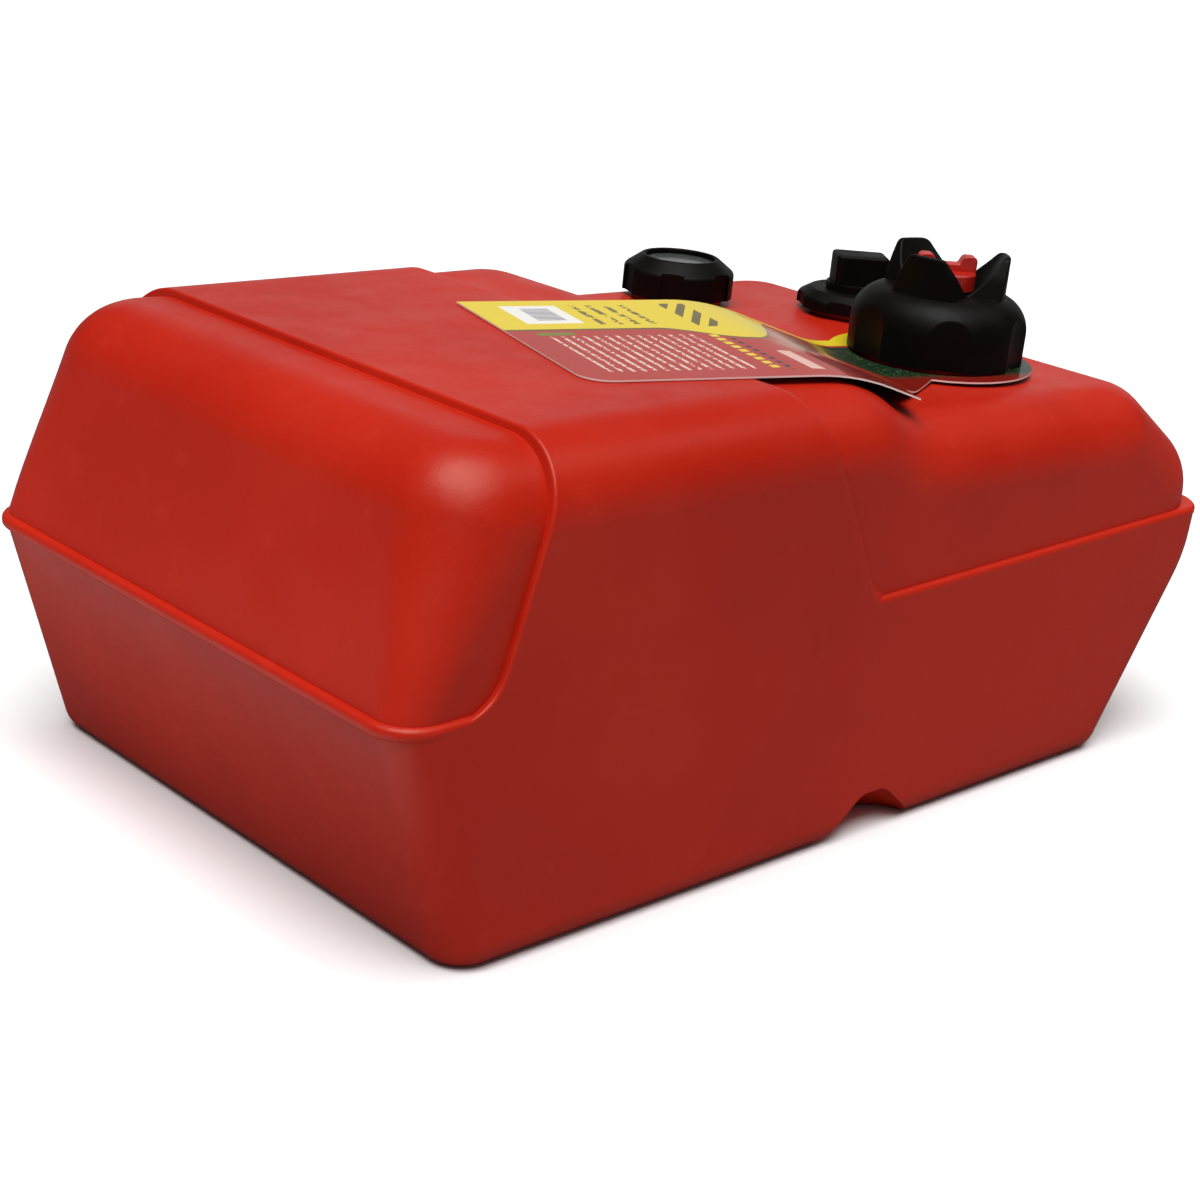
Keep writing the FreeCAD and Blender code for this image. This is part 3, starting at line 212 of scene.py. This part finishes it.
def steel():
    """Drawn stainless steel, streaked along its length."""
    m = Mat("stainless_steel")
    streaks = m.noise(scale=900.0, detail=3.0, rough=0.6, coords=m.stretched(1.0, 1.0, 0.06))
    rough = m.ramp(streaks, low=0.3, high=0.7, out_low=0.22, out_high=0.4)
    m.set(Base_Color=m.mix(streaks, rgb(170, 170, 166), rgb(206, 206, 202)))
    m.set(Metallic=1.0, Roughness=rough)
    return m.material


def clear_plastic():
    """Clear lens with a light, uneven haze."""
    m = Mat("clear_acrylic")
    haze = m.noise(scale=260.0, detail=5.0, rough=0.7)
    haze = m.ramp(haze, low=0.4, high=0.8, out_low=0.12, out_high=0.22)
    m.set(Base_Color=rgb(196, 200, 200), Roughness=haze)
    m.set(Transmission_Weight=0.92, IOR=1.3, Specular_IOR_Level=0.15)
    return m.material


def foam():
    """Dark closed-cell foam, with the pits of its cells painted darker as shade."""
    m = Mat("closed_cell_foam")
    cells = m.node("ShaderNodeTexVoronoi")
    m.link(m.coords, cells.inputs["Vector"])
    cells.inputs["Scale"].default_value = 900.0
    depth_and_pit_shade = cells.outputs["Distance"]
    # Colour darker in the cell pits, where the bump is deepest: painted shade.
    base = m.mix(depth_and_pit_shade, rgb(62, 52, 44), rgb(88, 76, 64))
    m.set(Base_Color=base, Roughness=0.85, Normal=m.bump(depth_and_pit_shade, distance=0.0002))
    return m.material


# --- gauge dial ---

GAUGE_CENTRE = (0.108, 0.096)
SCALE_SHARE = 0.765               # of a turn, from the first level tick to the last
LOW_SHARE = 0.095                 # of a turn, under the red arc of the low level
TICKS_A_TURN = 32 / 3
LONG_TICKS_A_TURN = 16 / 3
TICK_HALF_SHARE = 0.09            # of the pitch from one tick to the next
LONG_TICK_HALF_SHARE = 0.06
TICK_RING = (0.0150, 0.0172)      # radii in metres, here and for the next two
LONG_TICK_RING = (0.0132, 0.0172)
LOW_RING = (0.0100, 0.0118)


def dial_print():
    """Dial disc: dark face, a ring of pale level ticks from empty to full and a red arc."""
    m = Mat("gauge_dial_print")
    x, y, _ = m.axes()
    dx = m.math("SUBTRACT", x, GAUGE_CENTRE[0])
    dy = m.math("SUBTRACT", y, GAUGE_CENTRE[1])
    radius = m.math("SQRT", m.math("ADD", m.times(dx, dx), m.times(dy, dy)))
    # clockwise turn from the pointer's empty place, 0 to 1
    angle = m.times(m.math("ARCTAN2", dy, dx), -1 / (2 * math.pi))
    turn = m.math("FRACT", m.math("ADD", angle, 1.0))

    def ticks(per_turn, half_share, ring):
        phase = m.math("FRACT", m.math("ADD", m.times(turn, per_turn), 0.5))
        return m.times(m.near(phase, 0.5, half_share), m.between(radius, *ring))

    short = ticks(TICKS_A_TURN, TICK_HALF_SHARE, TICK_RING)
    long = ticks(LONG_TICKS_A_TURN, LONG_TICK_HALF_SHARE, LONG_TICK_RING)
    marks = m.times(m.math("MAXIMUM", short, long), m.math("LESS_THAN", turn, SCALE_SHARE))
    low = m.times(m.math("LESS_THAN", turn, LOW_SHARE), m.between(radius, *LOW_RING))
    base = m.mix(m.noise(scale=300.0), rgb(26, 25, 25), rgb(34, 33, 32))
    base = m.mix(marks, base, rgb(226, 224, 216))
    base = m.mix(low, base, rgb(190, 34, 24))
    grain = m.bump(m.noise(scale=900.0, detail=2.0), distance=0.00002)
    m.set(Base_Color=base, Roughness=0.45, Normal=grain)
    return m.material


# --- hang tag ---

TAG_ANGLE = math.radians(-17.0)
TAG_AXIS = (0.140, -0.052)
TAG_BACK = 0.2435        # from the filler's axis to the card's left edge, along the card
TAG_ACROSS = 0.0315      # and across it, to the card's far edge

TAG_RED = rgb(172, 38, 26)
# Deep red painted where the glossy card would mirror the black cap: a painted dark reflection.
TAG_PAINTED_REFLECTION_RED = rgb(122, 22, 12)
TAG_YELLOW = rgb(226, 200, 20)
TAG_DARK = rgb(34, 30, 24)

# Places on the card in metres: from and to along it, then from and to across it.
WHITE_PANEL = (0.016, 0.044, 0.010, 0.043)
RULED_BLOCK = (0.024, 0.038, 0.015, 0.038)
SHORT_RULES = (0.050, 0.083, 0.010, 0.046)
HATCHING = (0.098, 0.112, 0.008, 0.052)
LONG_RULES = (0.016, 0.088, 0.066, 0.125)
GREEN_PATCH = (0.012, 0.030, 0.059, 0.064)
YELLOW_PIPS = (0.094, 0.098, 0.066, 0.126)
DARK_PIPS = (0.101, 0.1035, 0.074, 0.128)
PALE_BLOCK = (0.112, 0.119, 0.096, 0.127)
PALE_BAR = (0.1335, 0.135, 0.088, 0.126)

# Repeating lines: how many to a metre, and how much of each is printed.
BLOCK_LINES = (420.0, 0.55)
SHORT_RULE_LINES = (118.0, 0.36)
HATCHING_LINES = (105.0, 0.5)
HATCHING_SLANT = 0.6
LONG_RULE_LINES = (190.0, 0.34)
PIP_LINES = (150.0, 0.62)

# Where the print, and the dark reflection of the cap painted on it, change along or across the
# card, in metres: from and to.
SWELL_RUN = (0.074, 0.112)
FALL_RUN = (0.116, 0.160)
PAINTED_REFLECTION_RUN = (0.172, 0.190)
NECK_PAINTED_REFLECTION_RUN = (0.122, 0.132)
NECK_PAINTED_REFLECTION_START = (0.094, 0.100)
LEAF_RUN = (0.166, 0.182)
HAZE_START = (0.152, 0.166)
HAZE_END = (0.148, 0.160)
HAZE_FAR_SIDE = (0.028, 0.044)
HAZE_NEAR_SIDE = (0.082, 0.100)
STRIPE_START = (0.138, 0.142)

SHORE = 0.053            # lower edge of the yellow field, across the card, where it runs straight
SHORE_SWELL = 0.019      # it bulges by this much before it falls away
SHORE_FALL = 0.060
SHORE_LINE = 0.0012      # half the width of the dark line along it, and its distance from it
NECK_SLANT = 0.33        # the print towards the neck starts on a slanting line
NECK_WANDER = 0.02       # and wanders off it by this much
LEAF_EDGE = (0.192, 0.75, 0.076)    # near edge of the green: start, how fast it falls, least
LEAF_EDGE_BLUR = (-0.008, 0.002)
STRIPE = 0.013           # width of the yellow stripe along the far edge, towards the neck
STRIPE_LINE = 0.0145     # middle of the thin red line beside it
STRIPE_LINE_HALF = 0.0015
UPRIGHT = 0.4            # a face whose normal rises by less than this is the card's cut edge


class Tag(Mat):
    """The card's material, with coordinates along and across it from its far left corner."""

    def __init__(self):
        super().__init__("hang_tag_print")
        x, y, _ = self.axes()
        dx = self.math("SUBTRACT", x, TAG_AXIS[0])
        dy = self.math("SUBTRACT", y, TAG_AXIS[1])
        c, s = math.cos(TAG_ANGLE), math.sin(TAG_ANGLE)
        along = self.math("ADD", self.times(dx, c), self.times(dy, s))
        across = self.math("SUBTRACT", self.times(dx, s), self.times(dy, c))
        self.u = self.math("ADD", along, TAG_BACK)
        self.v = self.math("ADD", across, TAG_ACROSS)

    def box(self, u0, u1, v0, v1):
        """1 inside this place on the card, and 0 elsewhere."""
        return self.times(self.between(self.u, u0, u1), self.between(self.v, v0, v1))


def tag_fields(m):
    """Yellow far field that runs out in a wave with a dark line along it, and red near field that
    turns deep red towards the neck, a painted dark reflection of the cap.
    """
    swell = m.ramp(m.u, *SWELL_RUN, out_high=SHORE_SWELL)
    fall = m.ramp(m.u, *FALL_RUN, out_high=SHORE_FALL)
    shore = m.math("ADD", m.math("SUBTRACT", swell, fall), SHORE)
    past = m.math("SUBTRACT", m.v, shore)
    # The red near field turns deep red towards the neck: painted dark reflection of the cap.
    red_with_painted_reflection = m.mix(m.ramp(m.u, *PAINTED_REFLECTION_RUN), TAG_RED, TAG_PAINTED_REFLECTION_RED)
    base = m.mix(m.math("LESS_THAN", past, 0.0), red_with_painted_reflection, TAG_YELLOW)
    return m.mix(m.near(past, SHORE_LINE, SHORE_LINE), base, rgb(96, 84, 26))


def tag_far_marks(m, base):
    """White panel with a ruled grey block, short dark rules and hatching on the yellow field."""
    base = m.mix(m.box(*WHITE_PANEL), base, rgb(236, 234, 226))
    bars = m.times(m.stripes(m.v, *BLOCK_LINES), m.box(*RULED_BLOCK))
    base = m.mix(bars, base, rgb(104, 100, 124))
    breaks = m.speckle(scale=360.0, level=0.46)
    rules = m.times(m.stripes(m.u, *SHORT_RULE_LINES), breaks, m.box(*SHORT_RULES))
    base = m.mix(m.times(rules, 0.8), base, TAG_DARK)
    slant = m.math("ADD", m.u, m.times(m.v, HATCHING_SLANT))
    hatching = m.times(m.stripes(slant, *HATCHING_LINES), m.box(*HATCHING))
    return m.mix(m.times(hatching, 0.85), base, TAG_DARK)


def tag_near_marks(m, base):
    """Fine pale rules, pips and blocks on the red field."""
    breaks = m.speckle(scale=520.0, level=0.45)
    rules = m.times(m.stripes(m.u, *LONG_RULE_LINES), breaks, m.box(*LONG_RULES))
    base = m.mix(m.times(rules, 0.8), base, rgb(236, 216, 200))
    base = m.mix(m.box(*GREEN_PATCH), base, rgb(110, 120, 34))
    pips = m.stripes(m.v, *PIP_LINES)
    base = m.mix(m.times(pips, m.box(*YELLOW_PIPS)), base, TAG_YELLOW)
    base = m.mix(m.times(pips, m.box(*DARK_PIPS)), base, TAG_DARK)
    base = m.mix(m.box(*PALE_BLOCK), base, rgb(226, 176, 164))
    return m.mix(m.box(*PALE_BAR), base, rgb(214, 150, 138))


def tag_neck(m, base):
    """Dark mottled green towards the neck that fades in through a pale haze, on a deep red that is
    a painted dark reflection of the cap.
    """
    wander = m.times(m.noise(scale=60.0, detail=2.0), NECK_WANDER)
    spread = m.math("ADD", m.math("ADD", m.u, m.times(m.v, NECK_SLANT)), wander)
    across = m.times(m.ramp(m.v, *HAZE_FAR_SIDE), m.ramp(m.v, *HAZE_NEAR_SIDE, 1.0, 0.0))
    haze = m.times(m.ramp(spread, *HAZE_START), m.ramp(m.u, *HAZE_END, 1.0, 0.0), across)
    base = m.mix(m.times(haze, 0.55), base, rgb(190, 172, 146))
    # Deep red painted across the neck where the card would mirror the black cap: painted
    # reflection.
    red_with_painted_reflection = m.mix(m.ramp(m.v, *NECK_PAINTED_REFLECTION_START), base, TAG_PAINTED_REFLECTION_RED)
    base = m.mix(m.ramp(m.u, *NECK_PAINTED_REFLECTION_RUN), base, red_with_painted_reflection)
    start, fall, least = LEAF_EDGE
    edge = m.math("MAXIMUM", m.math("SUBTRACT", start, m.times(m.u, fall)), least)
    inside = m.ramp(m.math("SUBTRACT", m.v, edge), *LEAF_EDGE_BLUR, 1.0, 0.0)
    specks = m.ramp(m.noise(scale=700.0, detail=4.0, rough=0.7), low=0.52, high=0.68)
    leaf = m.mix(specks, rgb(14, 40, 20), rgb(96, 112, 84))
    return m.mix(m.times(m.ramp(spread, *LEAF_RUN), inside), base, leaf)


def tag_far_edge(m, base):
    """Yellow stripe with a thin red line along the far edge."""
    start = m.ramp(m.u, *STRIPE_START)
    base = m.mix(m.times(m.math("LESS_THAN", m.v, STRIPE), start), base, TAG_YELLOW)
    return m.mix(m.times(m.near(m.v, STRIPE_LINE, STRIPE_LINE_HALF), start), base, TAG_RED)


def tag_print():
    """Glossy printed card with a pale cut edge. No words."""
    m = Tag()
    base = tag_fields(m)
    base = tag_far_marks(m, base)
    base = tag_near_marks(m, base)
    base = tag_neck(m, base)
    base = tag_far_edge(m, base)
    rise = m.axes(m.node("ShaderNodeNewGeometry").outputs["True Normal"])[2]
    base = m.mix(m.near(rise, 0.0, UPRIGHT), base, rgb(246, 226, 220))
    waves = m.bump(m.noise(scale=45.0, detail=2.0), distance=0.0006, strength=0.25)
    m.set(Base_Color=base, Roughness=0.4, Normal=waves)
    m.set(Coat_Weight=0.4, Coat_Roughness=0.05, Specular_IOR_Level=0.2)
    return m.material


# --- which piece gets which material ---

BLACK = moulded("black_nylon", rgb(8, 6, 5), rgb(13, 11, 10), rough=0.46, shine=0.1)
LINER = moulded("black_liner_plastic", rgb(26, 26, 27), rgb(36, 36, 37), rough=0.5)
RED = moulded("red_nylon", rgb(168, 26, 16), rgb(190, 36, 24), rough=0.34, coat=0.15)
POINTER = moulded("pointer_plastic", rgb(205, 52, 20), rgb(222, 66, 28), rough=0.35)
WHITE = moulded("natural_polyethylene", rgb(205, 205, 196), rgb(222, 222, 214), rough=0.42)
RUBBER = rubber()
STEEL = steel()

FINISHES = {
    "tank_shell": tank_plastic(),
    "filler_cap": BLACK,
    "gauge_nut": BLACK,
    "pickup_nut": BLACK,
    "pickup_body": BLACK,
    "cap_liner": LINER,
    "gauge_frame": LINER,
    "gauge_foot": LINER,
    "drive_plate": LINER,
    "vent_knob": RED,
    "gauge_pointer": POINTER,
    "cap_gasket": RUBBER,
    "gauge_gasket": RUBBER,
    "pickup_gasket": RUBBER,
    "lens_seal": RUBBER,
    "vent_seal": RUBBER,
    "spindle": STEEL,
    "vent_clip": STEEL,
    "gauge_lens": clear_plastic(),
    "gauge_float": foam(),
    "gauge_dial": dial_print(),
    "pickup_tube": WHITE,
    "strainer_screen": WHITE,
    "strainer_cap": WHITE,
    "hang_tag": tag_print(),
}

for name, material in FINISHES.items():
    slots = NODES[name].data.materials
    if not slots:
        slots.append(material)
    for i in range(len(slots)):
        slots[i] = material


# --- stage, lights and camera ---

FLOOR_HALF_SIZE = 6.0
FLOOR_BOUNCE = (0.44, 0.42, 0.41, 1.0)      # how pale the floor is to light that it scatters up
FLOOR_MIRRORED = (0.12, 0.12, 0.12, 1.0)    # and in reflections on the object

AMBIENT = 0.10           # strength of the studio's surround as light
MIRRORED = 0.06          # in reflections
BACKDROP = 1.0           # and where the camera looks straight at it

CAMERA_PLACE = (-0.7244, -0.6982, 0.4267)
CAMERA_TURN = (45.37, -19.75, 5.89)         # yaw, pitch and roll in degrees
SENSOR_WIDTH = 36.0
FOCAL_LENGTH = 66.075
SHIFT = (-0.00617, 0.00067)
CLIP_END = 50.0


def add(name, data):
    made = bpy.data.objects.new(name, data)
    bpy.context.collection.objects.link(made)
    return made


def floor():
    """Pale floor that keeps the object's shadow and sends less light back up than it looks."""
    far = FLOOR_HALF_SIZE
    mesh = bpy.data.meshes.new("floor")
    corners = [(-far, -far, 0), (far, -far, 0), (far, far, 0), (-far, far, 0)]
    mesh.from_pydata(corners, [], [(0, 1, 2, 3)])
    m = Mat("pale_floor")
    pale = m.mix(m.noise(scale=3.0, detail=2.0), rgb(250, 250, 250), rgb(253, 253, 253))
    path = m.node("ShaderNodeLightPath")
    seen = m.mix(path.outputs["Is Diffuse Ray"], pale, FLOOR_BOUNCE)
    m.set(Base_Color=m.mix(path.outputs["Is Glossy Ray"], seen, FLOOR_MIRRORED), Roughness=0.9)
    mesh.materials.append(m.material)
    add("floor", mesh)


def world():
    """Even studio surround, dimmer in reflections, and white where the camera looks at it."""
    made = bpy.data.worlds.new("studio")
    made.use_nodes = True
    tree = made.node_tree
    tree.nodes.clear()
    path = tree.nodes.new("ShaderNodeLightPath")

    def surround(strength):
        shader = tree.nodes.new("ShaderNodeBackground")
        shader.inputs["Color"].default_value = WHITE_LIGHT
        shader.inputs["Strength"].default_value = strength
        return shader.outputs[0]

    def pick(ray, other, chosen):
        """The chosen shader for this kind of ray, and the other one for the rest."""
        mix = tree.nodes.new("ShaderNodeMixShader")
        tree.links.new(path.outputs[ray], mix.inputs[0])
        tree.links.new(other, mix.inputs[1])
        tree.links.new(chosen, mix.inputs[2])
        return mix.outputs[0]

    light = pick("Is Glossy Ray", surround(AMBIENT), surround(MIRRORED))
    light = pick("Is Camera Ray", light, surround(BACKDROP))
    out = tree.nodes.new("ShaderNodeOutputWorld")
    tree.links.new(light, out.inputs["Surface"])
    bpy.context.scene.world = made


def ceiling(strength, spread, azimuth, elevation):
    """Very broad, even light from one direction, as from a ceiling bank; angles in degrees."""
    light = bpy.data.lights.new("ceiling", "SUN")
    light.energy = strength
    light.angle = math.radians(spread)
    a, e = math.radians(azimuth), math.radians(elevation)
    source = Vector((math.cos(e) * math.cos(a), math.cos(e) * math.sin(a), math.sin(e)))
    add("ceiling", light).rotation_euler = source.to_track_quat("Z", "Y").to_euler()


def softbox(name, place, target, width, height, watts):
    """Rectangular lamp that the camera doesn't see."""
    light = bpy.data.lights.new(name, "AREA")
    light.shape = "RECTANGLE"
    light.size = width
    light.size_y = height
    light.energy = watts
    lamp = add(name, light)
    lamp.visible_camera = False
    lamp.location = place
    lamp.rotation_euler = (Vector(target) - Vector(place)).to_track_quat("-Z", "Y").to_euler()


def camera():
    """Camera at the picture's place."""
    yaw, pitch, roll = map(math.radians, CAMERA_TURN)
    level = math.cos(pitch)
    ahead = Vector((level * math.sin(yaw), level * math.cos(yaw), math.sin(pitch)))
    right = ahead.cross(Vector((0, 0, 1))).normalized()
    up = right.cross(ahead)
    side = math.cos(roll) * right + math.sin(roll) * up
    top = -math.sin(roll) * right + math.cos(roll) * up
    data = bpy.data.cameras.new("camera")
    data.sensor_width = SENSOR_WIDTH
    data.lens = FOCAL_LENGTH
    data.shift_x, data.shift_y = SHIFT
    data.clip_end = CLIP_END
    made = add("camera", data)
    turn = Matrix((side, top, -ahead)).transposed().to_4x4()
    made.matrix_world = Matrix.Translation(CAMERA_PLACE) @ turn
    bpy.context.scene.camera = made


floor()
world()
ceiling(strength=3.65, spread=50, azimuth=216, elevation=73)
softbox("key", (-1.05, -1.10, 1.55), (-0.1, -0.1, 0.15), width=0.38, height=0.38, watts=2.0)
softbox("sheen", (1.00, -0.66, 1.60), (-0.15, -0.1, 0.2), width=0.7, height=0.6, watts=1.8)
softbox("back", (1.55, 1.35, 0.62), (0, 0, 0.2), width=2.6, height=1.1, watts=3.6)
softbox("glow", (-0.45, 0.06, 0.004), (-0.45, 0.06, 1.0), width=0.3, height=0.55, watts=0.34)
camera()
bpy.context.scene.view_settings.view_transform = "Standard"
